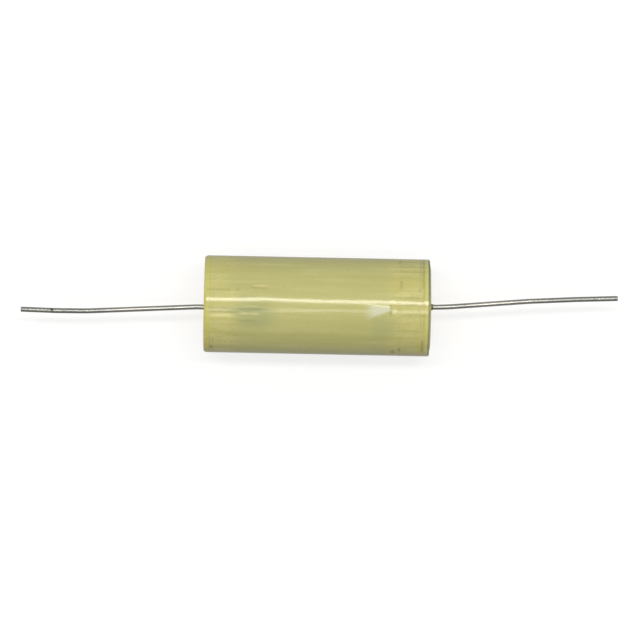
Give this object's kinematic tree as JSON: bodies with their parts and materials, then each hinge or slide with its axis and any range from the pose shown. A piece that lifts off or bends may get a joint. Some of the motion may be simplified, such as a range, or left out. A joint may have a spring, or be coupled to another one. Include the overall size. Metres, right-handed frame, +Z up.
{
  "type": "axial film capacitor",
  "caption": "Round film capacitor with a tape wrap, ends filled with resin, and a bent wire lead leaving each end along its axis.",
  "frame": {"origin": "middle of the body, on its axis", "axes": "+X along the body's axis towards the end where the resin stands proud, +Y level, to the side where the tape's loose end lies, +Z up"},
  "size_m": [0.1172, 0.019, 0.019],
  "materials": {
    "tape": "glossy yellow polyester tape",
    "metallised_film": "silvery wound film",
    "core_plastic": "plain natural plastic",
    "sprayed_metal": "matt, grainy sprayed metal",
    "solder": "smooth bright solder",
    "tinned_wire": "bright tinned wire",
    "resin": "glossy cast resin"
  },
  "bodies": {
    "root": {"outer_wrap": "tape", "film_winding": "metallised_film", "winding_core": "core_plastic", "end_spray_left": "sprayed_metal", "end_spray_right": "sprayed_metal", "solder_left": "solder", "solder_right": "solder", "lead_left": "tinned_wire", "lead_right": "tinned_wire", "end_fill_left": "resin", "end_fill_right": "resin"}
  },
  "joints": []
}
